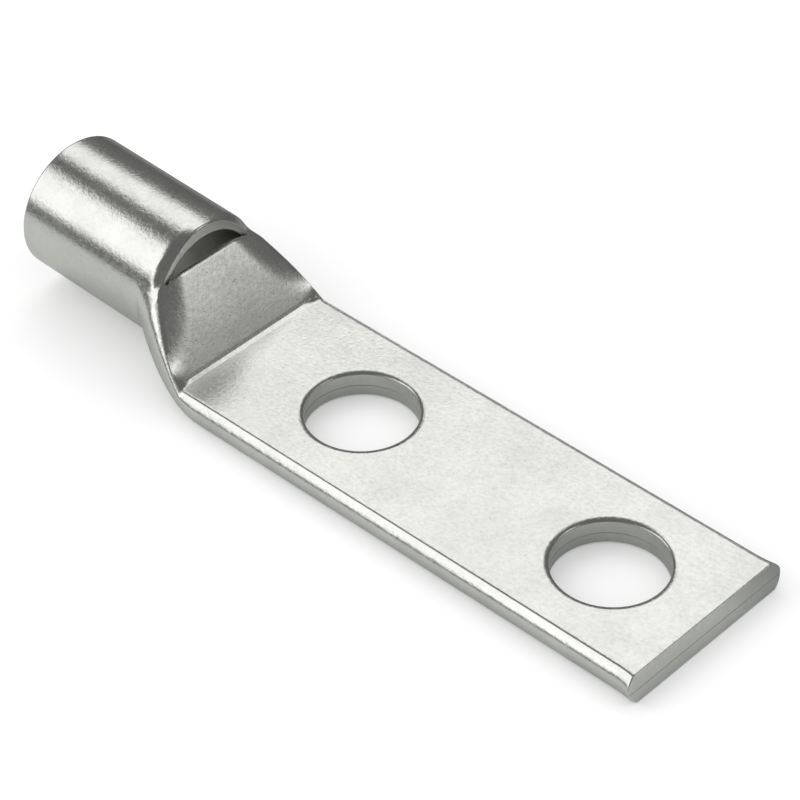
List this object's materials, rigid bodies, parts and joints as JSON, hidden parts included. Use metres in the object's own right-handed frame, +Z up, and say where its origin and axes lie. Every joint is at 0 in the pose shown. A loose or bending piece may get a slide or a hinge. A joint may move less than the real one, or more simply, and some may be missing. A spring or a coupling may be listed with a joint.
{
  "type": "two-hole compression lug",
  "caption": "Tin-plated tube pressed into a flat palm with in-line bolt holes, and a round barrel with an inspection window that is crimped onto a stranded conductor.",
  "frame": {"origin": "midway between the centres of the two bolt holes, on the underside of the palm", "axes": "+X runs along the lug from the barrel to the tip of the palm, +Y across the palm, +Z up, out of the palm's upper face"},
  "size_m": [0.118, 0.0296, 0.0215],
  "materials": {
    "tin_plate": "satin tin plating over copper, with fine pits and handling marks"
  },
  "bodies": {
    "root": {"lug": "tin_plate"}
  },
  "joints": []
}
